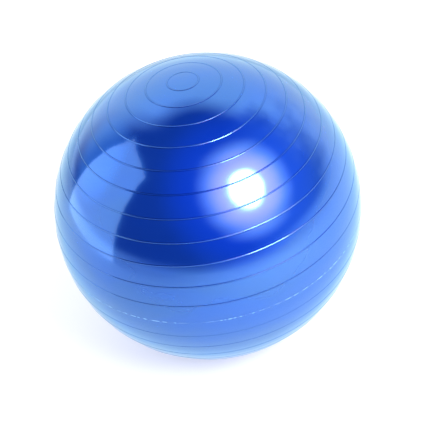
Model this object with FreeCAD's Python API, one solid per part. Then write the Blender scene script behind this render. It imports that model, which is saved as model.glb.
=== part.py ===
import FreeCAD, Part
import math
import os

# Exercise ball: a hollow, ribbed, air-filled ball with a valve seat and a pull-out plug.
#
# All sizes are in millimetres. The frame's origin is the middle of the flat that the ball stands on,
# with +Z up. The ribs run round +Z, and the valve is at the back, on the +Y side.

# Ball
BALL_DIAMETER = 650.0       # across the skin when it is pumped up
SKIN_WALL = 0.7             # soft PVC, stretched thin by the air
FOOT_RADIUS = 36.0          # flat that the ball's own weight presses on a floor

# Ribs: raised rings round +Z, evenly spaced from the innermost one at each pole to the mould's seam,
# which is a low ridge round the middle where the two halves of the mould met
RIBS_PER_HALF = 11
POLE_RIB_RADIUS = 30.6      # radius of the innermost rib at each pole
RIB_WIDTH = 2.4
RIB_HEIGHT = 0.45
SEAM_WIDTH = 0.9
SEAM_HEIGHT = 0.2

# Plug: one soft moulding with a domed head and a beaded stem
HEAD_RADIUS = 9.0
HEAD_THICKNESS = 1.6        # at the rim
HEAD_CROWN = 0.5            # how much the middle stands above the rim
HEAD_EDGE_BREAK = 0.35
DIMPLE_RADIUS = 2.2         # moulded hollow in the middle of the head
DIMPLE_DEPTH = 0.45
STEM_RADIUS = 4.1
BEAD_COUNT = 3
FIRST_BEAD_DEPTH = 4.0      # from under the head to the first bead's widest place
BEAD_PITCH = 4.2
BEAD_RISE = 0.55            # how much a bead stands out from the stem
BEAD_LEAD = 1.5             # length of a bead's long slope, on its tip side
BEAD_BACK = 0.5             # length of its short slope, on its head side
PLAIN_STEM_END = 2.1        # plain length between the last bead and the tapered tip
TIP_RADIUS = 2.9
TIP_TAPER = 5.0             # length of the tapered tip
TIP_ROUND = 0.8
CORE_RADIUS = 1.5           # blind hole up the stem, which keeps it soft
CORE_DEPTH = 15.0

# Valve seat: a thick moulded ring bonded into a hole in the skin
VALVE_BAND = 2              # the valve is in the middle of this band between ribs, counted down from the seam
BORE_CLEARANCE = 0.05       # between the plug's beads and the bore
BORE_LEAD_IN = 0.6
NECK_WALL = 3.3             # round the bore, where the neck leaves the flange
NECK_TIP_WALL = 2.1         # at the neck's inner end
NECK_PAST_BEADS = 3.1       # how far the neck runs on past the last bead
NECK_ROOT_CONE = 1.5        # cone that stiffens the neck where it meets the flange
RECESS_CLEARANCE = 0.4      # round the plug's head
HEAD_SEAT_GAP = 0.05        # between the head and the recess floor
HEAD_INSET = 0.15           # how far the crown of the head lies below the ball's own curve
RECESS_RIM_BREAK = 0.3      # broken edge round the recess
COLLAR_LIP = 3.6            # width of the seat's face round the recess
FLANGE_LAP = 6.0            # width of the seat's edge that is bonded under the skin
FLANGE_THICKNESS = 2.6
FLANGE_EDGE = 0.8

# Pry notch: a scoop in the recess wall that lets a fingernail under the plug's head
NOTCH_RADIUS = 3.0
NOTCH_BITE = 2.0            # how far the scoop goes into the collar's lip

# Derived sizes. Valve and plug heights are measured from the ball's centre, outwards.
BALL_RADIUS = BALL_DIAMETER / 2
AIR_RADIUS = BALL_RADIUS - SKIN_WALL
CENTRE_HEIGHT = math.sqrt(BALL_RADIUS ** 2 - FOOT_RADIUS ** 2)
CENTRE = FreeCAD.Vector(0, 0, CENTRE_HEIGHT)
FIRST_RIB_ANGLE = math.asin(POLE_RIB_RADIUS / BALL_RADIUS)
RIB_PITCH_ANGLE = (math.pi / 2 - FIRST_RIB_ANGLE) / RIBS_PER_HALF
VALVE_ANGLE = math.pi / 2 + (VALVE_BAND - 0.5) * RIB_PITCH_ANGLE
HEAD_UNDERSIDE = BALL_RADIUS - HEAD_INSET - HEAD_CROWN - HEAD_THICKNESS
HEAD_RIM = HEAD_UNDERSIDE + HEAD_THICKNESS
HEAD_CROWN_TOP = HEAD_RIM + HEAD_CROWN
BEADS_END_DEPTH = FIRST_BEAD_DEPTH + (BEAD_COUNT - 1) * BEAD_PITCH + BEAD_LEAD
STEM_LENGTH = BEADS_END_DEPTH + PLAIN_STEM_END + TIP_TAPER
NECK_LENGTH = BEADS_END_DEPTH + NECK_PAST_BEADS
BEAD_RADIUS = STEM_RADIUS + BEAD_RISE
BORE_RADIUS = BEAD_RADIUS + BORE_CLEARANCE
RECESS_FLOOR = HEAD_UNDERSIDE - HEAD_SEAT_GAP
RECESS_RADIUS = HEAD_RADIUS + RECESS_CLEARANCE
RECESS_MOUTH_RADIUS = RECESS_RADIUS + RECESS_RIM_BREAK
COLLAR_RADIUS = RECESS_RADIUS + COLLAR_LIP
FLANGE_RADIUS = COLLAR_RADIUS + FLANGE_LAP
NECK_RADIUS = BORE_RADIUS + NECK_WALL
NECK_TIP_RADIUS = BORE_RADIUS + NECK_TIP_WALL

Z_AXIS = FreeCAD.Vector(0, 0, 1)
ORIGIN = FreeCAD.Vector(0, 0, 0)


def at(radius, height):
    """A point of a profile, by its distance from the axis and its height."""
    return FreeCAD.Vector(radius, 0, height)


def on_sphere(sphere_radius, angle):
    """A point of a sphere's profile about the origin. The angle is measured from +Z, in radians."""
    return at(sphere_radius * math.sin(angle), sphere_radius * math.cos(angle))


def sphere_height(sphere_radius, radius):
    """How high a sphere's surface is at a distance from the axis."""
    return math.sqrt(sphere_radius ** 2 - radius ** 2)


def over_sphere(sphere_radius, radius):
    """A point of a sphere's profile, near the top, by its distance from the axis."""
    return at(radius, sphere_height(sphere_radius, radius))


def line(start, end):
    return Part.LineSegment(start, end).toShape()


def arc(start, middle, end):
    return Part.Arc(start, middle, end).toShape()


def sphere_arc(sphere_radius, start_angle, end_angle):
    """The arc of a sphere's profile between two angles from +Z."""
    middle = on_sphere(sphere_radius, (start_angle + end_angle) / 2)
    return arc(on_sphere(sphere_radius, start_angle), middle, on_sphere(sphere_radius, end_angle))


def arc_over(sphere_radius, start_radius, end_radius):
    """The arc of a sphere's profile between two distances from the axis, near the top."""
    middle = over_sphere(sphere_radius, (start_radius + end_radius) / 2)
    return arc(over_sphere(sphere_radius, start_radius), middle, over_sphere(sphere_radius, end_radius))


def chain(points):
    """Straight edges through the points, in order."""
    return [line(start, end) for start, end in zip(points, points[1:])]


def turned(edges):
    """The solid that a closed profile sweeps round the Z axis."""
    return Part.Face(Part.Wire(edges)).revolve(ORIGIN, Z_AXIS, 360)


def above(height):
    """All the space above a height, as a block that is larger than the ball."""
    side = 2 * BALL_DIAMETER
    return Part.makeBox(side, side, side, FreeCAD.Vector(-side / 2, -side / 2, height))


def ridges():
    """Each raised line round the ball, from the top: its angle from +Z, its width and its height."""
    lines = []
    for number in range(2 * RIBS_PER_HALF + 1):
        angle = FIRST_RIB_ANGLE + number * RIB_PITCH_ANGLE
        if number == RIBS_PER_HALF:
            lines.append((angle, SEAM_WIDTH, SEAM_HEIGHT))
        else:
            lines.append((angle, RIB_WIDTH, RIB_HEIGHT))
    return lines


def ribbed_ball():
    """The ball's outside: bands of a sphere with a low rounded ridge between each two."""
    edges = []
    band_start = 0.0
    for angle, width, height in ridges():
        half_angle = width / 2 / BALL_RADIUS
        foot_above, foot_below = angle - half_angle, angle + half_angle
        edges.append(sphere_arc(BALL_RADIUS, band_start, foot_above))
        edges.append(
            arc(
                on_sphere(BALL_RADIUS, foot_above),
                on_sphere(BALL_RADIUS + height, angle),
                on_sphere(BALL_RADIUS, foot_below),
            )
        )
        band_start = foot_below
    edges.append(sphere_arc(BALL_RADIUS, band_start, math.pi))
    edges.append(line(on_sphere(BALL_RADIUS, math.pi), on_sphere(BALL_RADIUS, 0)))
    ball = turned(edges)
    ball.translate(CENTRE)
    return ball


def at_valve(shape):
    """Places a shape, drawn with the ball's centre as its origin and +Z outwards, at the valve."""
    placed = shape.copy()
    placed.Placement = FreeCAD.Placement(
        CENTRE, FreeCAD.Rotation(FreeCAD.Vector(1, 0, 0), -math.degrees(VALVE_ANGLE))
    )
    return placed


def ball_skin():
    """The hollow skin, flat where it stands, with a round hole for the valve seat."""
    outside = ribbed_ball().common(above(0))
    air = Part.makeSphere(AIR_RADIUS, CENTRE).common(above(SKIN_WALL))
    hole = at_valve(Part.makeCylinder(COLLAR_RADIUS, BALL_RADIUS + RIB_HEIGHT, ORIGIN, Z_AXIS))
    return outside.cut(air).cut(hole)


def pry_notch():
    """A round scoop that opens the recess wall on the valve's upper side."""
    out = RECESS_RADIUS + NOTCH_BITE - NOTCH_RADIUS
    return Part.makeSphere(NOTCH_RADIUS, FreeCAD.Vector(0, -out, RECESS_FLOOR + NOTCH_RADIUS))


def valve_seat():
    """A stepped ring: a collar flush with the skin, a flange bonded under it and a neck round the bore."""
    flange_under = AIR_RADIUS - FLANGE_THICKNESS
    neck_end = RECESS_FLOOR - NECK_LENGTH
    mouth = over_sphere(BALL_RADIUS, RECESS_MOUTH_RADIUS)
    flange_rim = over_sphere(AIR_RADIUS, FLANGE_RADIUS)
    edges = [
        arc_over(BALL_RADIUS, RECESS_MOUTH_RADIUS, COLLAR_RADIUS),
        line(over_sphere(BALL_RADIUS, COLLAR_RADIUS), over_sphere(AIR_RADIUS, COLLAR_RADIUS)),
        arc_over(AIR_RADIUS, COLLAR_RADIUS, FLANGE_RADIUS),
    ]
    edges += chain(
        [
            flange_rim,
            at(FLANGE_RADIUS, flange_rim.z - FLANGE_EDGE),
            at(NECK_RADIUS + NECK_ROOT_CONE, flange_under),
            at(NECK_RADIUS, flange_under - NECK_ROOT_CONE),
            at(NECK_TIP_RADIUS, neck_end),
            at(BORE_RADIUS, neck_end),
            at(BORE_RADIUS, RECESS_FLOOR - BORE_LEAD_IN),
            at(BORE_RADIUS + BORE_LEAD_IN, RECESS_FLOOR),
            at(RECESS_RADIUS, RECESS_FLOOR),
            at(RECESS_RADIUS, mouth.z - RECESS_RIM_BREAK),
            mouth,
        ]
    )
    return at_valve(turned(edges).cut(pry_notch()))


def bead(depth):
    """Points of one bead, going down the stem: a short back slope, the widest place and a long lead-in."""
    return [
        at(STEM_RADIUS, HEAD_UNDERSIDE - depth + BEAD_BACK),
        at(BEAD_RADIUS, HEAD_UNDERSIDE - depth),
        at(STEM_RADIUS, HEAD_UNDERSIDE - depth - BEAD_LEAD),
    ]


def valve_plug():
    """The stopper: a domed head with a dimple, and a beaded, tapered stem that is cored from its tip."""
    tip = HEAD_UNDERSIDE - STEM_LENGTH
    dome_edge = HEAD_RADIUS - HEAD_EDGE_BREAK
    dome_radius = (dome_edge ** 2 + HEAD_CROWN ** 2) / (2 * HEAD_CROWN)
    dome_centre = HEAD_CROWN_TOP - dome_radius

    def on_dome(radius):
        return at(radius, dome_centre + sphere_height(dome_radius, radius))

    dimple_edge = on_dome(DIMPLE_RADIUS)
    dimple_floor = at(0, dimple_edge.z - DIMPLE_DEPTH)
    dimple_slope = at(0.6 * DIMPLE_RADIUS, dimple_edge.z - 0.7 * DIMPLE_DEPTH)
    edges = [
        arc(dimple_floor, dimple_slope, dimple_edge),
        arc(dimple_edge, on_dome((DIMPLE_RADIUS + dome_edge) / 2), on_dome(dome_edge)),
    ]
    beads = []
    for number in range(BEAD_COUNT):
        beads += bead(FIRST_BEAD_DEPTH + number * BEAD_PITCH)
    edges += chain(
        [
            on_dome(dome_edge),
            at(HEAD_RADIUS, HEAD_RIM - HEAD_EDGE_BREAK),
            at(HEAD_RADIUS, HEAD_UNDERSIDE),
            at(STEM_RADIUS, HEAD_UNDERSIDE),
            *beads,
            at(STEM_RADIUS, tip + TIP_TAPER),
            at(TIP_RADIUS, tip + TIP_ROUND),
            at(TIP_RADIUS - TIP_ROUND, tip),
            at(CORE_RADIUS, tip),
            at(CORE_RADIUS, tip + CORE_DEPTH),
            at(0, tip + CORE_DEPTH + CORE_RADIUS),
            dimple_floor,
        ]
    )
    return at_valve(turned(edges))


def main():
    os.makedirs("parts", exist_ok=True)
    for make in (ball_skin, valve_seat, valve_plug):
        shape = make()
        shape.exportStep(os.path.join("parts", make.__name__ + ".step"))
        print(make.__name__, round(shape.Volume), "mm3, valid:", shape.isValid())


main()
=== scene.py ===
import math

import bpy
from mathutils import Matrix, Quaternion, Vector


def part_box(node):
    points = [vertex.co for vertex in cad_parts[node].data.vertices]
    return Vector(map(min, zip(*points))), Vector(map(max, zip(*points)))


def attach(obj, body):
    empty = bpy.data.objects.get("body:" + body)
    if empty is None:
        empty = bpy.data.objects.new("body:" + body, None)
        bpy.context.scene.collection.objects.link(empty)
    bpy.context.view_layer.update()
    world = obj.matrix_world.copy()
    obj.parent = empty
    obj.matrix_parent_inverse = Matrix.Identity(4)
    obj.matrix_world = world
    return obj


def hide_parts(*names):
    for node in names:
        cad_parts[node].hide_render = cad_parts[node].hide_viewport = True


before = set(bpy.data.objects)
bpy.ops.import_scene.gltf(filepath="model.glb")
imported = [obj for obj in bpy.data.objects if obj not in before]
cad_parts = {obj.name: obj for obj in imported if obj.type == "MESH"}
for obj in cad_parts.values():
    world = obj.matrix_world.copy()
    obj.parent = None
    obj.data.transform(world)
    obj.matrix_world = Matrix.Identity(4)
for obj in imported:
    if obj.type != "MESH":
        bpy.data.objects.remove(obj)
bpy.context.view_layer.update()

# Exercise ball, in metres. The ball stands at the origin with +Z up. Its ribs run round +Z, and its
# valve is at the back, on the +Y side.
MM = 0.001

# Ball. The places come from the frame; these are the sizes that the frame doesn't state.
BALL_RADIUS = 325 * MM
SKIN_WALL = 0.7 * MM
RIBS_PER_HALF = 11
POLE_RIB_RADIUS = 30.6 * MM
RIB_WIDTH = 2.4 * MM
RIB_HEIGHT = 0.45 * MM
SEAM_WIDTH = 1.0 * MM
SEAM_HEIGHT = 0.2 * MM
BAND_BULGE = 0.10 * MM           # how far the air pushes each band out between its ribs
BAND_END = 0.4 * MM              # short faces beside each rib, which keep its foot crisp
BAND_FACES = 5
RIDGE_FACES = 6
FOOT_SOFTNESS = 0.6 * MM         # how gently the flat foot runs into the round ball
BALL_STEPS = 144                 # faces round the ball

# Valve. Heights are measured outwards from the ball's centre.
VALVE_BAND = 2
COLLAR_RADIUS = 13 * MM
PATCH_RADIUS = 19 * MM           # round patch of skin that is modelled with the valve
PATCH_HALF_STEPS = 1.6           # half the width of the faces it takes the place of, in steps
RIB_CLEARANCE = 0.05 * MM
VALVE_STEPS = 64

FIRST_RIB_ANGLE = math.asin(POLE_RIB_RADIUS / BALL_RADIUS)
RIB_PITCH_ANGLE = (math.pi / 2 - FIRST_RIB_ANGLE) / RIBS_PER_HALF
VALVE_ANGLE = math.pi / 2 + (VALVE_BAND - 0.5) * RIB_PITCH_ANGLE
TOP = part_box("ball_skin")[1].z
CENTRE = Vector((0, 0, TOP - BALL_RADIUS))
VALVE_OUT = Vector((0, math.sin(VALVE_ANGLE), math.cos(VALVE_ANGLE)))

# Valve seat and plug, in millimetres. A level is a height above the ball's centre.
MOUTH_RADIUS = 9.7
RECESS_RADIUS = 9.4
RECESS_LEVEL = 322.7
BORE_RADIUS = 4.7
SLEEVE_END_LEVEL = 305.7
FLANGE_RADIUS = 19.0
UNDER_SKIN_GAP = 0.02
NOTCH_RADIUS = 3.0
NOTCH_OFFSET = 8.4
CROWN_LEVEL = 324.85
CROWN_DOME_RADIUS = 75.07
HEAD_RADIUS = 9.0
HEAD_UNDERSIDE_LEVEL = 322.75
STEM_RADIUS = 4.1
STEM_LENGTH = 21.0
STEM_BEADS = 3
FIRST_BEAD_DEPTH = 4.0
BEAD_PITCH = 4.2
CORE_RADIUS = 1.5

# Colours
SKIN_DEEP_BLUE = (0.0030, 0.036, 0.34, 1)
SKIN_PEARL_BLUE = (0.0040, 0.046, 0.42, 1)
# Painted shade: a dark line along each rib's foot, standing for the shadow and dark reflection there.
SKIN_FOOT_PAINTED_SHADE_BLUE = (0.004, 0.018, 0.085, 1)
# Painted highlight: a paler blue along the rib crests.
SKIN_CREST_PAINTED_HIGHLIGHT_BLUE = (0.02, 0.09, 0.50, 1)
# Painted highlight: pale dashes on the seam, standing for the sparkle on its trimmed edge.
SEAM_PAINTED_SPARKLE_BLUE = (0.30, 0.48, 0.80, 1)
SEAT_DEEP_BLUE = (0.003, 0.085, 0.38, 1)
SEAT_BLUE = (0.004, 0.115, 0.46, 1)
PLUG_WHITE = (0.66, 0.65, 0.62, 1)
PLUG_MARKED = (0.46, 0.45, 0.42, 1)
DUST_GREY = (0.40, 0.41, 0.43, 1)
WORLD_LIGHT = (0.93, 0.95, 1.0, 1)

# Finishes
SKIN_PEARL = (0.47, 0.55)        # share of pearl, between and in the flow marks
SKIN_COAT = 0.5
SKIN_ROUGHNESS = 0.11
FOOT_PAINTED_SHADE_STRENGTH = 0.5              # how dark the painted shade lines along the ribs' feet are
SEAM_SPARKLE_STRENGTH = 0.75             # how pale the seam's painted highlight dashes are
SEAT_ROUGHNESS = 0.33
PLUG_ROUGHNESS = 0.36

# Studio, in degrees and metres. Azimuth 0 is behind the ball, +Y, and 90 is to its right, +X.
ROOM_RADIUS = 4.4
ROOM_DIM = (0.02, 0.035, 0.16)
BACKDROP_LOW = (1.7, 1.55, 1.4)
BACKDROP_HIGH = (1.65, 1.82, 1.8)
BACKDROP_LEFT_EDGE = (-62.0, -28.0)
BACKDROP_RIGHT_EDGE = (48.0, 98.0)
BACKDROP_TOP_EDGE = (53.0, 73.0)
BACKDROP_BLEND = (2.0, 48.0)     # elevations between which its low colour turns to its high one
BACKDROP_LEAN = 0.35             # how far its right edge leans out with height
BACKDROP_RAGGED = 60.0           # how uneven that edge is
FLOOR_GLOW = (1.0, 1.1, 1.15)
FLOOR_GLOW_EDGE = (-5.0, 4.0)
FLOOR_RADIUS = 14
FLOOR_WHITE = (0.86, 0.87, 0.88, 1)
FLOOR_LIFT = (0.16, 0.72)        # extra light on the floor, at the two ends of the pool's span
POOL_AZIMUTH = 118
POOL_SPAN = (-0.6, 1.8)          # where the pool's light starts to rise and where it is full
LAMP_AZIMUTH = 141.4
LAMP_ELEVATION = 41.2
LAMP_GLOWS = (                   # half-angles where a glow ends and where it is full, and its colour
    (13.9, 9.9, (26.0, 24.0, 24.0)),
    (29.0, 12.0, (5.4, 0.6, 0.3)),
    (37.0, 15.0, (3.0, 2.7, 2.4)),
    (65.0, 35.0, (0.0, 0.08, 0.9)),
)
HAZE_AZIMUTH = 100
HAZE_ELEVATION = 15
HAZE = (60.0, 15.0, (0.20, 0.33, 0.55))
SIDE_HAZE_AZIMUTH = 296
SIDE_HAZE_ELEVATION = 25
SIDE_HAZE = (26.0, 10.0, (0.28, 0.56, 0.85))
KEY_DISTANCE = 2.5
KEY_SIZE = 1.1
KEY_RADIANCE = 17.0
PANEL_AZIMUTH = 272.8
PANEL_DISTANCE = 2.42
PANEL_WIDTH = 2.08
PANEL_HEIGHT = 3.6
PANEL_RADIANCE = 1.7

# Camera
CAMERA_ELEVATION = math.radians(42.1)
CAMERA_LEAN = math.radians(11.2)
CAMERA_DISTANCE = 1.872
CAMERA_LENS = 72.9
CAMERA_RIGHT = 0.0147            # how far the camera stands to the right of the ball's middle
CAMERA_DOWN = 0.0190


# ---------------------------------------------------------------- modelling helpers

def deselect_all():
    bpy.ops.object.select_all(action="DESELECT")


def edit(piece):
    """Makes a piece the only selected one and opens it for editing."""
    if bpy.context.mode != "OBJECT":
        bpy.ops.object.mode_set(mode="OBJECT")
    deselect_all()
    piece.select_set(True)
    bpy.context.view_layer.objects.active = piece
    bpy.ops.object.mode_set(mode="EDIT")


def close():
    bpy.ops.object.mode_set(mode="OBJECT")


def lathe(name, outline, steps):
    """Draws an outline of (radius, height) points with extrude, and spins it round Z into a new piece."""
    deselect_all()
    bpy.ops.mesh.primitive_plane_add(size=MM, location=(0, 0, 0))
    piece = bpy.context.active_object
    piece.name = piece.data.name = name
    edit(piece)
    bpy.ops.mesh.select_mode(type="VERT")
    bpy.ops.mesh.select_all(action="SELECT")
    bpy.ops.mesh.merge(type="CENTER")
    here = Vector((outline[0][0], 0, outline[0][1]))
    bpy.ops.transform.translate(value=here)
    for radius, height in outline[1:]:
        there = Vector((radius, 0, height))
        bpy.ops.mesh.extrude_region_move(TRANSFORM_OT_translate={"value": there - here})
        here = there
    bpy.ops.mesh.select_all(action="SELECT")
    bpy.ops.mesh.spin(steps=steps, angle=2 * math.pi, center=(0, 0, 0), axis=(0, 0, 1))
    bpy.ops.mesh.select_all(action="SELECT")
    bpy.ops.mesh.remove_doubles(threshold=0.002 * MM)
    bpy.ops.mesh.normals_make_consistent(inside=False)
    close()
    return piece


def settle(piece, smooth_angle=40):
    """Writes a piece's place into its mesh and shades it smooth, except across sharp edges."""
    if bpy.context.mode != "OBJECT":
        close()
    deselect_all()
    piece.select_set(True)
    bpy.context.view_layer.objects.active = piece
    bpy.ops.object.transform_apply(location=True, rotation=True, scale=True)
    bpy.ops.object.shade_smooth_by_angle(angle=math.radians(smooth_angle))
    return piece


def apply_modifier(piece, kind, **settings):
    deselect_all()
    piece.select_set(True)
    bpy.context.view_layer.objects.active = piece
    modifier = piece.modifiers.new(kind.lower(), kind)
    for key, value in settings.items():
        setattr(modifier, key, value)
    bpy.ops.object.modifier_apply(modifier=modifier.name)


# ---------------------------------------------------------------- ball skin

def ridge_angles():
    """Each raised line round the ball, from the top: its angle from +Z, its width and its height."""
    lines = []
    for number in range(2 * RIBS_PER_HALF + 1):
        angle = FIRST_RIB_ANGLE + number * RIB_PITCH_ANGLE
        if number == RIBS_PER_HALF:
            lines.append((angle, SEAM_WIDTH, SEAM_HEIGHT))
        else:
            lines.append((angle, RIB_WIDTH, RIB_HEIGHT))
    return lines


def band(start, end, faces):
    """(angle, height above the sphere) across a smooth band between two ridges, with close ends."""
    edge = BAND_END / BALL_RADIUS
    inner = [start + edge + (end - start - 2 * edge) * i / faces for i in range(faces + 1)]
    points = []
    for angle in [start] + inner + [end]:
        share = (angle - start) / (end - start)
        points.append((angle, BAND_BULGE * math.sin(math.pi * share) ** 2))
    return points


def ridge(angle, width, height):
    """(angle, height above the sphere) over a rounded ridge, without its two feet."""
    points = []
    for i in range(1, RIDGE_FACES):
        across = 2 * i / RIDGE_FACES - 1
        rise = height * math.cos(math.pi / 2 * across) ** 2
        points.append((angle + across * width / 2 / BALL_RADIUS, rise))
    return points


def ball_outline():
    """Half of the ball's outline, from the top pole to the bottom one, pressed flat where it stands."""
    points = []
    start = 0.0
    for angle, width, height in ridge_angles():
        half = width / 2 / BALL_RADIUS
        points += band(start, angle - half, BAND_FACES)
        points += ridge(angle, width, height)
        start = angle + half
    points += band(start, math.pi, BAND_FACES)
    floor = -CENTRE.z
    outline = []
    for angle, rise in points:
        radius = (BALL_RADIUS + rise) * math.sin(angle)
        height = (BALL_RADIUS + rise) * math.cos(angle)
        above = height - floor
        if above < 8 * FOOT_SOFTNESS:
            above = FOOT_SOFTNESS * math.log1p(math.exp(above / FOOT_SOFTNESS))
        outline.append((max(radius, 0.0), floor + above))
    outline[0] = (0.0, outline[0][1])
    outline[-1] = (0.0, outline[-1][1])
    return outline


def valve_ring(radius, rise):
    """How far out along the valve's axis a ring of skin of this radius and rise lies."""
    return math.sqrt(BALL_RADIUS ** 2 - radius ** 2) + rise


def make_ball_skin():
    skin = lathe("ball_skin_shell", ball_outline(), BALL_STEPS)
    edit(skin)
    bpy.ops.mesh.select_all(action="SELECT")
    half_step = math.pi / BALL_STEPS
    bpy.ops.transform.rotate(value=half_step, orient_axis="Z", center_override=(0, 0, 0))
    close()
    open_patch(skin)
    edit(skin)
    raise_boss(skin)
    close()
    apply_modifier(skin, "SOLIDIFY", thickness=SKIN_WALL, offset=-1, use_even_offset=False)
    skin.location = CENTRE
    return settle(skin, 50)


def open_patch(skin):
    """Takes out the faces round the valve, three steps wide and the whole width of its band."""
    edge = BAND_END + RIB_WIDTH / 2
    half_height = RIB_PITCH_ANGLE / 2 - (edge - RIB_CLEARANCE) / BALL_RADIUS
    half_width = PATCH_HALF_STEPS * 2 * math.pi / BALL_STEPS
    edit(skin)
    bpy.ops.mesh.select_mode(type="FACE")
    bpy.ops.mesh.select_all(action="DESELECT")
    close()
    for face in skin.data.polygons:
        way = face.center.normalized()
        around = math.atan2(way.x, way.y)
        down = math.acos(max(-1.0, min(1.0, way.z)))
        face.select = abs(around) < half_width and abs(down - VALVE_ANGLE) < half_height
    edit(skin)
    bpy.ops.mesh.delete(type="FACE")
    close()


def select_edges(piece, test):
    """Selects the edges whose two ends pass a test."""
    edit(piece)
    bpy.ops.mesh.select_mode(type="EDGE")
    bpy.ops.mesh.select_all(action="DESELECT")
    close()
    points = piece.data.vertices
    for each in piece.data.edges:
        each.select = all(test(points[i].co) for i in each.vertices)
    edit(piece)


def on_ring(middle, radius):
    """A test of whether a point is on a ring of this radius round the valve's axis."""
    near = 0.02 * MM

    def test(point):
        arm = point - middle
        return abs(arm.length - radius) < near and abs(arm.dot(VALVE_OUT)) < near

    return test


def raise_boss(skin):
    """Fills the patch with rings round the valve: a low raised boss, and the hole that takes the seat."""
    rings = [
        (PATCH_RADIUS, 0.0),
        (18.2 * MM, 0.0),
        (17.8 * MM, 0.06 * MM),
        (17.2 * MM, 0.32 * MM),
        (16.6 * MM, 0.46 * MM),
        (15.9 * MM, 0.50 * MM),
        (14.4 * MM, 0.50 * MM),
        (13.7 * MM, 0.42 * MM),
        (13.25 * MM, 0.20 * MM),
        (COLLAR_RADIUS + 0.05 * MM, 0.0),
    ]
    bpy.ops.mesh.select_mode(type="EDGE")
    bpy.ops.mesh.select_all(action="DESELECT")
    radius, rise = rings[0]
    turn = VALVE_OUT.to_track_quat("Z", "Y").to_euler()
    out = valve_ring(radius, rise)
    bpy.ops.mesh.primitive_circle_add(
        vertices=VALVE_STEPS, radius=radius, location=VALVE_OUT * out, rotation=turn
    )
    bpy.ops.mesh.select_all(action="DESELECT")
    bpy.ops.mesh.select_non_manifold(extend=False)
    bpy.ops.mesh.bridge_edge_loops()
    close()
    for next_radius, next_rise in rings[1:]:
        select_edges(skin, on_ring(VALVE_OUT * out, radius))
        next_out = valve_ring(next_radius, next_rise)
        bpy.ops.mesh.extrude_edges_move(TRANSFORM_OT_translate={"value": VALVE_OUT * (next_out - out)})
        scale = next_radius / radius
        bpy.ops.transform.resize(value=(scale, scale, scale), center_override=VALVE_OUT * next_out)
        radius = next_radius
        out = next_out
        close()
    edit(skin)
    bpy.ops.mesh.select_all(action="SELECT")
    bpy.ops.mesh.normals_make_consistent(inside=False)


# ---------------------------------------------------------------- valve seat and plug

def arc_points(centre, radius, start, end, faces):
    """Points along an arc of an outline, by angle from the outline's radius axis, in degrees."""
    points = []
    for i in range(faces + 1):
        angle = math.radians(start + (end - start) * i / faces)
        points.append((centre[0] + radius * math.cos(angle), centre[1] + radius * math.sin(angle)))
    return points


def in_metres(points):
    return [(radius * MM, height * MM) for radius, height in points]


def over(radius, rise=0.0, sphere=BALL_RADIUS / MM):
    """A point of an outline over a sphere round the ball's centre, in millimetres."""
    return (radius, math.sqrt(sphere ** 2 - radius ** 2) + rise)


def to_valve(piece):
    """Turns a piece that was drawn round Z, outwards from the ball's centre, to where the valve is."""
    piece.rotation_euler = (-VALVE_ANGLE, 0, 0)
    piece.location = CENTRE


def make_valve_seat():
    """The moulded ring in the skin's hole, with its flange, its neck, and a scoop for a fingernail."""
    mouth = over(MOUTH_RADIUS)
    under_skin = (BALL_RADIUS - SKIN_WALL) / MM - UNDER_SKIN_GAP
    outline = arc_points((MOUTH_RADIUS, mouth[1] - 0.3), 0.3, 180, 90, 4)
    outline += [over(10.3), over(10.5, 0.03), over(10.7, 0.16), over(11.0, 0.24), over(11.3, 0.16)]
    outline += [over(11.5, 0.03), over(11.7), over(12.5), over(12.75, -0.04), over(12.93, -0.15)]
    outline += [over(13.0, -0.3), over(13.0, 0, under_skin), over(15.0, 0, under_skin)]
    outline += [over(17.0, 0, under_skin), over(18.8, 0, under_skin)]
    outline += [over(FLANGE_RADIUS, -0.15, under_skin), over(FLANGE_RADIUS, -0.7, under_skin)]
    outline += [over(18.6, -0.95, under_skin), (10.2, 321.75), (9.1, 321.45), (8.35, 320.9)]
    outline += [(8.0, 320.1), (6.95, 306.4), (6.8, 305.95), (6.4, SLEEVE_END_LEVEL)]
    outline += [(5.0, SLEEVE_END_LEVEL), (BORE_RADIUS, 306.0), (BORE_RADIUS, 314.0)]
    outline += [(BORE_RADIUS, 322.0), (4.85, 322.4), (5.3, RECESS_LEVEL), (9.1, RECESS_LEVEL)]
    outline += [(9.32, 322.78), (RECESS_RADIUS, 323.0), outline[0]]
    seat = lathe("valve_seat_moulding", in_metres(outline), VALVE_STEPS)
    deselect_all()
    bpy.ops.mesh.primitive_uv_sphere_add(
        segments=48,
        ring_count=24,
        radius=NOTCH_RADIUS * MM,
        location=(0, -NOTCH_OFFSET * MM, (RECESS_LEVEL + NOTCH_RADIUS) * MM),
    )
    scoop = bpy.context.active_object
    apply_modifier(seat, "BOOLEAN", operation="DIFFERENCE", object=scoop, solver="EXACT")
    bpy.data.objects.remove(scoop)
    to_valve(seat)
    return settle(seat, 35)


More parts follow.
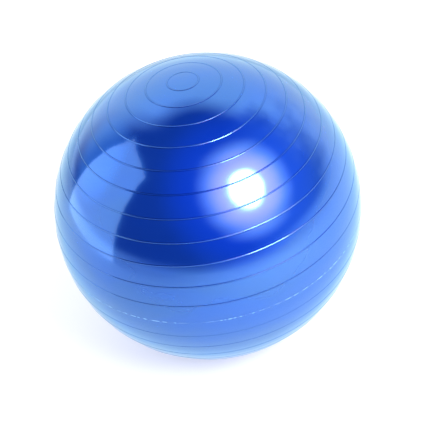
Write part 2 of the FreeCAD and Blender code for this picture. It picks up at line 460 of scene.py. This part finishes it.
def make_valve_plug():
    """The stopper: a crowned head with a groove and a dimple, and a stem with three sealing beads."""
    underside = HEAD_UNDERSIDE_LEVEL
    tip = underside - STEM_LENGTH

    def top(radius, rise=0.0):
        return (radius, CROWN_LEVEL - radius ** 2 / (2 * CROWN_DOME_RADIUS) + rise)

    outline = [(0.0, CROWN_LEVEL - 0.47), top(0.8, -0.43), top(1.4, -0.30)]
    outline += [top(1.9, -0.12), top(2.3, -0.02)]
    outline += [top(2.7), top(4.5), top(6.4), top(6.6, -0.03), top(6.75, -0.16), top(7.0, -0.22)]
    outline += [top(7.25, -0.16), top(7.4, -0.03), top(7.6), top(8.3)]
    outline += arc_points((8.5, top(8.5)[1] - 0.5), 0.5, 80, 0, 5)
    outline += [(HEAD_RADIUS, underside + 0.25), (8.93, underside + 0.07), (8.75, underside)]
    outline += [(4.6, underside), (4.25, underside - 0.1), (STEM_RADIUS, underside - 0.5)]
    for number in range(STEM_BEADS):
        widest = underside - FIRST_BEAD_DEPTH - BEAD_PITCH * number
        outline += [(STEM_RADIUS, widest + 0.62), (4.22, widest + 0.42), (4.52, widest + 0.2)]
        outline += [(4.64, widest), (4.6, widest - 0.25), (4.35, widest - 0.85)]
        outline += [(4.16, widest - 1.35), (STEM_RADIUS, widest - 1.7)]
    outline += [(STEM_RADIUS, tip + 5.2), (4.02, tip + 4.7), (2.98, tip + 0.9), (2.8, tip + 0.45)]
    outline += [(2.5, tip + 0.12), (2.1, tip), (1.7, tip), (CORE_RADIUS, tip + 0.2)]
    outline += [(CORE_RADIUS, tip + 15.0), (1.2, tip + 16.0), (0.6, tip + 16.4), (0.0, tip + 16.5)]
    plug = lathe("valve_plug_moulding", in_metres(outline), VALVE_STEPS)
    to_valve(plug)
    return settle(plug, 35)


# ---------------------------------------------------------------- shader node helpers

def node(tree, kind, **settings):
    made = tree.nodes.new(kind)
    for key, value in settings.items():
        setattr(made, key, value)
    return made


def feed(tree, target, value):
    """Links an output to a socket, or sets the socket to a plain value."""
    if isinstance(value, bpy.types.NodeSocket):
        tree.links.new(value, target)
    else:
        target.default_value = value


def sums(tree, operation, *values, clamp=False):
    made = node(tree, "ShaderNodeMath", operation=operation, use_clamp=clamp)
    for socket, value in zip(made.inputs, values):
        feed(tree, socket, value)
    return made.outputs[0]


def step_up(tree, value, low, high, to_low=0.0, to_high=1.0):
    """A smooth step of a value from one range to another."""
    made = node(tree, "ShaderNodeMapRange", interpolation_type="SMOOTHSTEP")
    for socket, each in zip(made.inputs, (value, low, high, to_low, to_high)):
        feed(tree, socket, each)
    return made.outputs[0]


def blend_colours(tree, share, first, second):
    made = node(tree, "ShaderNodeMix", data_type="RGBA")
    feed(tree, made.inputs["Factor"], share)
    feed(tree, made.inputs["A"], first)
    feed(tree, made.inputs["B"], second)
    return made.outputs["Result"]


def noise(tree, vector, scale, detail=3.0, roughness=0.5):
    made = node(tree, "ShaderNodeTexNoise")
    feed(tree, made.inputs["Vector"], vector)
    made.inputs["Scale"].default_value = scale
    made.inputs["Detail"].default_value = detail
    made.inputs["Roughness"].default_value = roughness
    return made.outputs["Fac"]


def new_group(name, inputs, outputs):
    """A shader node group. Inputs are {name: default}, None for a vector, and outputs are masks."""
    tree = bpy.data.node_groups.new(name, "ShaderNodeTree")
    for label, value in inputs.items():
        kind = "NodeSocketVector" if value is None else "NodeSocketFloat"
        socket = tree.interface.new_socket(label, in_out="INPUT", socket_type=kind)
        if value is not None:
            socket.default_value = value
    for label in outputs:
        tree.interface.new_socket(label, in_out="OUTPUT", socket_type="NodeSocketFloat")
    return tree, node(tree, "NodeGroupInput").outputs, node(tree, "NodeGroupOutput").inputs


def ridge_lines_group():
    """Masks that follow the raised lines: rib crests (painted highlight), rib feet (painted shade) and
    the seam's pale dashes (painted highlight).
    """
    tree, given, wanted = new_group(
        "ridge_lines",
        {"Vector": None, "First Angle": 0.1, "Pitch Angle": 0.1, "Crest Width": 0.001},
        ("Crest", "Foot", "Seam"),
    )
    split = node(tree, "ShaderNodeSeparateXYZ")
    feed(tree, split.inputs[0], given["Vector"])
    length = node(tree, "ShaderNodeVectorMath", operation="LENGTH")
    feed(tree, length.inputs[0], given["Vector"])
    angle = sums(tree, "ARCCOSINE", sums(tree, "DIVIDE", split.outputs["Z"], length.outputs["Value"]))
    place = sums(tree, "SUBTRACT", angle, given["First Angle"])
    place = sums(tree, "DIVIDE", place, given["Pitch Angle"])
    nearest = sums(tree, "MAXIMUM", sums(tree, "ROUND", place), 0.0)
    nearest = sums(tree, "MINIMUM", nearest, 2.0 * RIBS_PER_HALF)
    away = sums(tree, "ABSOLUTE", sums(tree, "SUBTRACT", place, nearest))
    away = sums(tree, "MULTIPLY", away, given["Pitch Angle"])
    away = sums(tree, "MULTIPLY", away, length.outputs["Value"])
    share = sums(tree, "DIVIDE", away, given["Crest Width"])
    at_seam = sums(tree, "COMPARE", nearest, float(RIBS_PER_HALF), 0.5)
    at_rib = sums(tree, "SUBTRACT", 1.0, at_seam)
    crest = step_up(tree, share, 0.2, 0.7, 1.0, 0.0)
    feed(tree, wanted["Crest"], sums(tree, "MULTIPLY", at_rib, crest))
    near = step_up(tree, share, 0.55, 0.9)
    far = step_up(tree, share, 1.1, 1.8, 1.0, 0.0)
    feed(tree, wanted["Foot"], sums(tree, "MULTIPLY", at_rib, sums(tree, "MULTIPLY", near, far)))
    dashes = step_up(tree, noise(tree, given["Vector"], 110.0, 3.0, 0.6), 0.42, 0.56)
    stretches = step_up(tree, noise(tree, given["Vector"], 5.0), 0.30, 0.52)
    dashes = sums(tree, "MULTIPLY", dashes, stretches)
    seam = step_up(tree, away, SEAM_WIDTH * 0.6, SEAM_WIDTH * 1.2, 1.0, 0.0)
    feed(tree, wanted["Seam"], sums(tree, "MULTIPLY", at_seam, sums(tree, "MULTIPLY", seam, dashes)))
    return tree


def flow_marks_group():
    """Soft swirls where the coloured plastic flowed in the mould."""
    tree, given, wanted = new_group(
        "flow_marks",
        {"Vector": None, "Scale": 8.0, "Stretch": 2.0},
        ("Mask",),
    )
    swirl = node(tree, "ShaderNodeTexNoise")
    feed(tree, swirl.inputs["Vector"], given["Vector"])
    feed(tree, swirl.inputs["Scale"], sums(tree, "MULTIPLY", given["Scale"], 0.5))
    swirl.inputs["Detail"].default_value = 2.0
    shift = node(tree, "ShaderNodeVectorMath", operation="SCALE")
    feed(tree, shift.inputs[0], swirl.outputs["Color"])
    shift.inputs["Scale"].default_value = 0.18
    moved = node(tree, "ShaderNodeVectorMath", operation="ADD")
    feed(tree, moved.inputs[0], given["Vector"])
    feed(tree, moved.inputs[1], shift.outputs[0])
    spread = node(tree, "ShaderNodeCombineXYZ")
    feed(tree, spread.inputs["X"], 1.0)
    feed(tree, spread.inputs["Y"], 1.0)
    feed(tree, spread.inputs["Z"], given["Stretch"])
    longer = node(tree, "ShaderNodeVectorMath", operation="MULTIPLY")
    feed(tree, longer.inputs[0], moved.outputs[0])
    feed(tree, longer.inputs[1], spread.outputs[0])
    streaks = node(tree, "ShaderNodeTexNoise")
    feed(tree, streaks.inputs["Vector"], longer.outputs[0])
    feed(tree, streaks.inputs["Scale"], given["Scale"])
    streaks.inputs["Detail"].default_value = 4.0
    feed(tree, wanted["Mask"], step_up(tree, streaks.outputs["Fac"], 0.32, 0.68))
    return tree


def moulded_surface_group():
    """The height of a moulded plastic surface, in metres: a fine orange peel over a slow waviness."""
    tree, given, wanted = new_group(
        "moulded_surface",
        {
            "Vector": None,
            "Grain": 300.0,
            "Grain Height": 0.01 * MM,
            "Wave": 12.0,
            "Wave Height": 0.1 * MM,
        },
        ("Height",),
    )
    parts = []
    for scale, height in (("Grain", "Grain Height"), ("Wave", "Wave Height")):
        made = node(tree, "ShaderNodeTexNoise")
        feed(tree, made.inputs["Vector"], given["Vector"])
        feed(tree, made.inputs["Scale"], given[scale])
        made.inputs["Detail"].default_value = 1.5
        parts.append(sums(tree, "MULTIPLY", made.outputs["Fac"], given[height]))
    feed(tree, wanted["Height"], sums(tree, "ADD", *parts))
    return tree


def handling_group():
    """What handling leaves: dust specks, and rubbed patches with fine hairlines."""
    tree, given, wanted = new_group(
        "handling",
        {"Vector": None, "Patch Scale": 9.0, "Speck Scale": 420.0},
        ("Dust", "Rub"),
    )
    specks = node(tree, "ShaderNodeTexVoronoi", feature="F1")
    feed(tree, specks.inputs["Vector"], given["Vector"])
    feed(tree, specks.inputs["Scale"], given["Speck Scale"])
    patches = node(tree, "ShaderNodeTexNoise")
    feed(tree, patches.inputs["Vector"], given["Vector"])
    feed(tree, patches.inputs["Scale"], given["Patch Scale"])
    patches.inputs["Detail"].default_value = 5.0
    dots = step_up(tree, specks.outputs["Distance"], 0.10, 0.22, 1.0, 0.0)
    dusty = step_up(tree, patches.outputs["Fac"], 0.5, 0.7)
    feed(tree, wanted["Dust"], sums(tree, "MULTIPLY", dots, dusty))
    hair = node(tree, "ShaderNodeTexNoise")
    feed(tree, hair.inputs["Vector"], given["Vector"])
    feed(tree, hair.inputs["Scale"], sums(tree, "MULTIPLY", given["Speck Scale"], 0.35))
    hair.inputs["Detail"].default_value = 6.0
    hair.inputs["Distortion"].default_value = 1.5
    lines = step_up(tree, hair.outputs["Fac"], 0.48, 0.52)
    rubbed = step_up(tree, patches.outputs["Fac"], 0.42, 0.62)
    hairlines = sums(tree, "ADD", sums(tree, "MULTIPLY", lines, 0.5), 0.5)
    feed(tree, wanted["Rub"], sums(tree, "MULTIPLY", rubbed, hairlines))
    return tree


def place_group(tree, group, vector, **values):
    """Places a group in a material with its own values, and gives its outputs."""
    made = node(tree, "ShaderNodeGroup")
    made.node_tree = group
    feed(tree, made.inputs["Vector"], vector)
    for label, value in values.items():
        feed(tree, made.inputs[label.replace("_", " ")], value)
    return made.outputs


def new_material(name, plain):
    """A material with these plain shader values, and Object coordinates from the ball's centre."""
    material = bpy.data.materials.new(name)
    material.use_nodes = True
    tree = material.node_tree
    shader = tree.nodes["Principled BSDF"]
    for label, value in plain.items():
        shader.inputs[label].default_value = value
    middle = node(tree, "ShaderNodeMapping", vector_type="TEXTURE")
    middle.inputs["Location"].default_value = CENTRE
    feed(tree, middle.inputs["Vector"], node(tree, "ShaderNodeTexCoord").outputs["Object"])
    return material, tree, shader, middle.outputs[0]


def bump(tree, shader, height):
    """Gives a shader a surface height in metres."""
    made = node(tree, "ShaderNodeBump")
    made.inputs["Strength"].default_value = 1.0
    made.inputs["Distance"].default_value = 1.0
    feed(tree, made.inputs["Height"], height)
    feed(tree, shader.inputs["Normal"], made.outputs["Normal"])


def part_of(tree, mask, amount):
    """A mask, at part of its strength."""
    return sums(tree, "MULTIPLY", mask, amount)


# ---------------------------------------------------------------- materials

def pearl_blue_material(groups):
    """Glossy blue PVC with fine blue pearl in it, under a thin clear surface."""
    material, tree, shader, at = new_material(
        "pearl_blue_pvc",
        {
            "IOR": 2.45,
            "Specular Tint": (0.32, 1.0, 1.0, 1.0),
            "Coat Roughness": 0.03,
            "Coat IOR": 1.5,
        },
    )
    marks = place_group(tree, groups["flow_marks"], at, Scale=5.0, Stretch=2.2)["Mask"]
    lines = place_group(
        tree,
        groups["ridge_lines"],
        at,
        First_Angle=FIRST_RIB_ANGLE,
        Pitch_Angle=RIB_PITCH_ANGLE,
        Crest_Width=RIB_WIDTH / 2,
    )
    touched = place_group(tree, groups["handling"], at, Patch_Scale=7.0, Speck_Scale=420.0)
    surface = place_group(
        tree,
        groups["moulded_surface"],
        at,
        Grain=260.0,
        Grain_Height=0.006 * MM,
        Wave=16.0,
        Wave_Height=0.12 * MM,
    )
    # The seam's dashes are rougher and lose their pearl and coat. Their pale colour is a painted
    # highlight for the sparkle on the trimmed seam.
    painted_seam_sparkle = part_of(tree, lines["Seam"], SEAM_SPARKLE_STRENGTH)
    # Painted shade along the ribs' feet: a dark colour, full metallic and no coat, so their reflection
    # darkens too.
    painted_foot_shade = part_of(tree, lines["Foot"], FOOT_PAINTED_SHADE_STRENGTH)
    colour = blend_colours(tree, marks, SKIN_DEEP_BLUE, SKIN_PEARL_BLUE)
    colour = blend_colours(tree, painted_foot_shade, colour, SKIN_FOOT_PAINTED_SHADE_BLUE)
    # A faint painted highlight of paler blue along the rib crests.
    colour = blend_colours(tree, part_of(tree, lines["Crest"], 0.1), colour, SKIN_CREST_PAINTED_HIGHLIGHT_BLUE)
    colour = blend_colours(tree, painted_seam_sparkle, colour, SEAM_PAINTED_SPARKLE_BLUE)
    colour = blend_colours(tree, part_of(tree, touched["Dust"], 0.012), colour, DUST_GREY)
    feed(tree, shader.inputs["Base Color"], colour)
    low_pearl, high_pearl = SKIN_PEARL
    pearl = step_up(tree, marks, 0.0, 1.0, low_pearl, high_pearl)
    pearl = sums(tree, "MULTIPLY", pearl, sums(tree, "SUBTRACT", 1.0, painted_seam_sparkle))
    missing_pearl = sums(tree, "SUBTRACT", 1.0, pearl)
    foot_shade_metallic = sums(tree, "MULTIPLY", painted_foot_shade, missing_pearl)
    feed(tree, shader.inputs["Metallic"], sums(tree, "ADD", pearl, foot_shade_metallic, clamp=True))
    painted_lines_uncoated = sums(tree, "ADD", painted_seam_sparkle, painted_foot_shade, clamp=True)
    coat = sums(tree, "SUBTRACT", SKIN_COAT, part_of(tree, painted_lines_uncoated, SKIN_COAT))
    feed(tree, shader.inputs["Coat Weight"], coat)
    rough = sums(tree, "ADD", part_of(tree, touched["Rub"], 0.04), part_of(tree, lines["Crest"], 0.06))
    rough = sums(tree, "ADD", rough, part_of(tree, lines["Seam"], 0.3))
    feed(tree, shader.inputs["Roughness"], sums(tree, "ADD", rough, SKIN_ROUGHNESS, clamp=True))
    bump(tree, shader, surface["Height"])
    return material


def seat_material(groups):
    """The valve seat's thicker blue PVC: no pearl, satin from its mould, with dust specks and rougher
    rubbed patches.
    """
    material, tree, shader, at = new_material(
        "seat_blue_pvc",
        {"IOR": 1.5, "Coat Weight": 0.25, "Coat Roughness": 0.2},
    )
    marks = place_group(tree, groups["flow_marks"], at, Scale=40.0, Stretch=1.0)["Mask"]
    touched = place_group(tree, groups["handling"], at, Patch_Scale=90.0, Speck_Scale=1500.0)
    surface = place_group(
        tree,
        groups["moulded_surface"],
        at,
        Grain=2200.0,
        Grain_Height=0.008 * MM,
        Wave=180.0,
        Wave_Height=0.04 * MM,
    )
    colour = blend_colours(tree, marks, SEAT_DEEP_BLUE, SEAT_BLUE)
    colour = blend_colours(tree, part_of(tree, touched["Dust"], 0.3), colour, DUST_GREY)
    feed(tree, shader.inputs["Base Color"], colour)
    rough = sums(tree, "ADD", part_of(tree, touched["Rub"], 0.15), SEAT_ROUGHNESS)
    feed(tree, shader.inputs["Roughness"], rough)
    bump(tree, shader, surface["Height"])
    return material


def plug_material(groups):
    """Soft white plastic, slightly warm, a little see-through at its edges, with grey finger marks."""
    material, tree, shader, at = new_material(
        "plug_white_plastic",
        {
            "IOR": 1.5,
            "Subsurface Weight": 0.15,
            "Subsurface Scale": 2 * MM,
            "Subsurface Radius": (1.0, 0.8, 0.6),
        },
    )
    touched = place_group(tree, groups["handling"], at, Patch_Scale=110.0, Speck_Scale=1800.0)
    surface = place_group(
        tree,
        groups["moulded_surface"],
        at,
        Grain=2600.0,
        Grain_Height=0.007 * MM,
        Wave=200.0,
        Wave_Height=0.04 * MM,
    )
    colour = blend_colours(tree, part_of(tree, touched["Rub"], 0.22), PLUG_WHITE, PLUG_MARKED)
    colour = blend_colours(tree, part_of(tree, touched["Dust"], 0.35), colour, DUST_GREY)
    feed(tree, shader.inputs["Base Color"], colour)
    rough = sums(tree, "ADD", part_of(tree, touched["Rub"], 0.18), PLUG_ROUGHNESS)
    feed(tree, shader.inputs["Roughness"], rough)
    bump(tree, shader, surface["Height"])
    return material


# ---------------------------------------------------------------- studio

def direction(azimuth, elevation):
    """A way out from the ball. Azimuth 0 is +Y, away from the camera, and 90 is +X, to its right."""
    turn = math.radians(azimuth)
    lift = math.radians(elevation)
    across = math.cos(lift)
    return Vector((math.sin(turn) * across, math.cos(turn) * across, math.sin(lift)))


def add_floor():
    deselect_all()
    bpy.ops.mesh.primitive_circle_add(
        vertices=96,
        radius=FLOOR_RADIUS,
        fill_type="NGON",
        location=(0, 0, 0),
    )
    floor = bpy.context.active_object
    floor.name = "floor"
    material = bpy.data.materials.new("pale_floor")
    material.use_nodes = True
    tree = material.node_tree
    shader = tree.nodes["Principled BSDF"]
    shader.inputs["Base Color"].default_value = FLOOR_WHITE
    shader.inputs["Roughness"].default_value = 0.7
    shader.inputs["Emission Color"].default_value = (1, 1, 1, 1)
    # The floor's emission paints light on it: a little everywhere, and a pool rising towards the front
    # right, which also washes out the ball's cast shadow.
    along = node(tree, "ShaderNodeVectorMath", operation="DOT_PRODUCT")
    feed(tree, along.inputs[0], node(tree, "ShaderNodeTexCoord").outputs["Object"])
    along.inputs[1].default_value = direction(POOL_AZIMUTH, 0)
    lift = step_up(tree, along.outputs["Value"], *POOL_SPAN, *FLOOR_LIFT)
    feed(tree, shader.inputs["Emission Strength"], lift)
    material.cycles.emission_sampling = "NONE"
    floor.data.materials.append(material)


def seen_only_in_gloss(thing):
    """Hides a thing from everything but the reflections on glossy surfaces."""
    thing.visible_camera = thing.visible_diffuse = thing.visible_shadow = False
    thing.visible_transmission = thing.visible_volume_scatter = False


def glow_towards(tree, way, azimuth, elevation, glow):
    """A round soft glow on the room's wall: its colour, as a vector."""
    ends, full, colour = glow
    facing = node(tree, "ShaderNodeVectorMath", operation="DOT_PRODUCT")
    feed(tree, facing.inputs[0], way)
    facing.inputs[1].default_value = direction(azimuth, elevation)
    low = math.cos(math.radians(ends))
    high = math.cos(math.radians(full))
    return scaled(tree, colour, step_up(tree, facing.outputs["Value"], low, high))


def scaled(tree, colour, share):
    """A plain colour times a share that changes over the surface, as a vector."""
    made = node(tree, "ShaderNodeVectorMath", operation="SCALE")
    made.inputs[0].default_value = colour
    feed(tree, made.inputs["Scale"], share)
    return made.outputs[0]


def ways_out(tree):
    """For a point of the room's wall, seen from the ball: its way, azimuth and elevation."""
    middle = node(tree, "ShaderNodeMapping", vector_type="TEXTURE")
    middle.inputs["Location"].default_value = CENTRE
    feed(tree, middle.inputs["Vector"], node(tree, "ShaderNodeTexCoord").outputs["Object"])
    unit = node(tree, "ShaderNodeVectorMath", operation="NORMALIZE")
    feed(tree, unit.inputs[0], middle.outputs[0])
    way = unit.outputs[0]
    split = node(tree, "ShaderNodeSeparateXYZ")
    feed(tree, split.inputs[0], way)
    azimuth = sums(tree, "DEGREES", sums(tree, "ARCTAN2", split.outputs["X"], split.outputs["Y"]))
    elevation = sums(tree, "DEGREES", sums(tree, "ARCSINE", split.outputs["Z"]))
    return way, azimuth, elevation


def backdrop_mask(tree, way, azimuth, elevation):
    """Where the lit backdrop is on the room's wall, with a straight left edge and a ragged right one."""
    uneven = sums(tree, "SUBTRACT", noise(tree, way, 3.0, 4.0, 0.6), 0.5)
    uneven = sums(tree, "MULTIPLY", uneven, BACKDROP_RAGGED)
    leaning = sums(tree, "ADD", azimuth, uneven)
    leaning = sums(tree, "ADD", leaning, sums(tree, "MULTIPLY", elevation, BACKDROP_LEAN))
    left = step_up(tree, azimuth, *BACKDROP_LEFT_EDGE)
    right = step_up(tree, leaning, *BACKDROP_RIGHT_EDGE, 1.0, 0.0)
    above = step_up(tree, elevation, *BACKDROP_TOP_EDGE, 1.0, 0.0)
    return sums(tree, "MULTIPLY", sums(tree, "MULTIPLY", left, right), above)


def room_light(tree):
    """The colour of the room's wall: backdrop, floor glow, lamp and hazes added together."""
    way, azimuth, elevation = ways_out(tree)
    backdrop = backdrop_mask(tree, way, azimuth, elevation)
    higher = sums(tree, "MULTIPLY", backdrop, step_up(tree, elevation, *BACKDROP_BLEND))
    lower = sums(tree, "SUBTRACT", backdrop, higher)
    unlit = sums(tree, "SUBTRACT", 1.0, backdrop)
    foot = sums(tree, "MULTIPLY", step_up(tree, elevation, *FLOOR_GLOW_EDGE, 1.0, 0.0), unlit)
    glows = [
        scaled(tree, BACKDROP_HIGH, higher),
        scaled(tree, BACKDROP_LOW, lower),
        scaled(tree, FLOOR_GLOW, foot),
    ]
    glows += [glow_towards(tree, way, LAMP_AZIMUTH, LAMP_ELEVATION, glow) for glow in LAMP_GLOWS]
    glows.append(glow_towards(tree, way, HAZE_AZIMUTH, HAZE_ELEVATION, HAZE))
    glows.append(glow_towards(tree, way, SIDE_HAZE_AZIMUTH, SIDE_HAZE_ELEVATION, SIDE_HAZE))
    total = ROOM_DIM
    for glow in glows:
        added = node(tree, "ShaderNodeVectorMath", operation="ADD")
        feed(tree, added.inputs[0], total)
        feed(tree, added.inputs[1], glow)
        total = added.outputs[0]
    return total


def add_dim_room():
    """The unlit end of the studio with its white backdrop, which only the ball's gloss shows."""
    deselect_all()
    bpy.ops.mesh.primitive_uv_sphere_add(segments=64, ring_count=32, radius=ROOM_RADIUS, location=CENTRE)
    room = bpy.context.active_object
    room.name = "dim_room"
    edit(room)
    bpy.ops.mesh.select_all(action="SELECT")
    bpy.ops.mesh.flip_normals()
    close()
    settle(room)
    material = bpy.data.materials.new("room_light")
    material.use_nodes = True
    tree = material.node_tree
    tree.nodes.clear()
    light = node(tree, "ShaderNodeEmission")
    feed(tree, light.inputs["Color"], room_light(tree))
    output = node(tree, "ShaderNodeOutputMaterial")
    feed(tree, output.inputs["Surface"], light.outputs[0])
    material.cycles.emission_sampling = "NONE"
    room.data.materials.append(material)
    seen_only_in_gloss(room)


def add_area_light(name, place, aim, shape, size, size_y, radiance):
    """A soft light panel with an even glow. Its power follows from its size and its radiance."""
    data = bpy.data.lights.new(name, "AREA")
    data.shape = shape
    data.size = size
    data.size_y = size_y
    area = size * size_y * (math.pi / 4 if shape == "DISK" else 1.0)
    data.energy = radiance * math.pi * area
    light = bpy.data.objects.new(name, data)
    bpy.context.scene.collection.objects.link(light)
    light.location = place
    light.rotation_mode = "QUATERNION"
    light.rotation_quaternion = (aim - place).to_track_quat("-Z", "Y")
    light.visible_camera = False
    return light


def add_lights():
    key_at = CENTRE + direction(LAMP_AZIMUTH, LAMP_ELEVATION) * KEY_DISTANCE
    key = add_area_light("key", key_at, CENTRE, "DISK", KEY_SIZE, KEY_SIZE, KEY_RADIANCE)
    key.visible_glossy = False
    reach = direction(PANEL_AZIMUTH, 0) * PANEL_DISTANCE
    panel_at = Vector((reach.x, reach.y, PANEL_HEIGHT / 2))
    aim = Vector((0, 0, PANEL_HEIGHT / 2))
    add_area_light("side_panel", panel_at, aim, "RECTANGLE", PANEL_WIDTH, PANEL_HEIGHT, PANEL_RADIANCE)


def add_world():
    world = bpy.data.worlds.new("studio")
    world.use_nodes = True
    world.node_tree.nodes["Background"].inputs["Color"].default_value = WORLD_LIGHT
    bpy.context.scene.world = world
    bpy.context.scene.view_settings.view_transform = "Standard"


def add_camera():
    data = bpy.data.cameras.new("camera")
    camera = bpy.data.objects.new("camera", data)
    bpy.context.scene.collection.objects.link(camera)
    data.lens = CAMERA_LENS
    back = Vector((0, -math.cos(CAMERA_ELEVATION), math.sin(CAMERA_ELEVATION)))
    turn = (-back).to_track_quat("-Z", "Y") @ Quaternion((0, 0, 1), -CAMERA_LEAN)
    camera.rotation_mode = "QUATERNION"
    camera.rotation_quaternion = turn
    aside = turn @ Vector((CAMERA_RIGHT, -CAMERA_DOWN, 0))
    camera.location = CENTRE + back * CAMERA_DISTANCE + aside
    bpy.context.scene.camera = camera


# ---------------------------------------------------------------- the object

def finish_piece(piece, material, body, cad_node):
    piece.data.materials.clear()
    piece.data.materials.append(material)
    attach(piece, body)
    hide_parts(cad_node)


add_world()
add_camera()
add_floor()
add_dim_room()
add_lights()

groups = {
    "ridge_lines": ridge_lines_group(),
    "flow_marks": flow_marks_group(),
    "moulded_surface": moulded_surface_group(),
    "handling": handling_group(),
}
finish_piece(make_ball_skin(), pearl_blue_material(groups), "ball", "ball_skin")
finish_piece(make_valve_seat(), seat_material(groups), "ball", "valve_seat")
finish_piece(make_valve_plug(), plug_material(groups), "plug", "valve_plug")
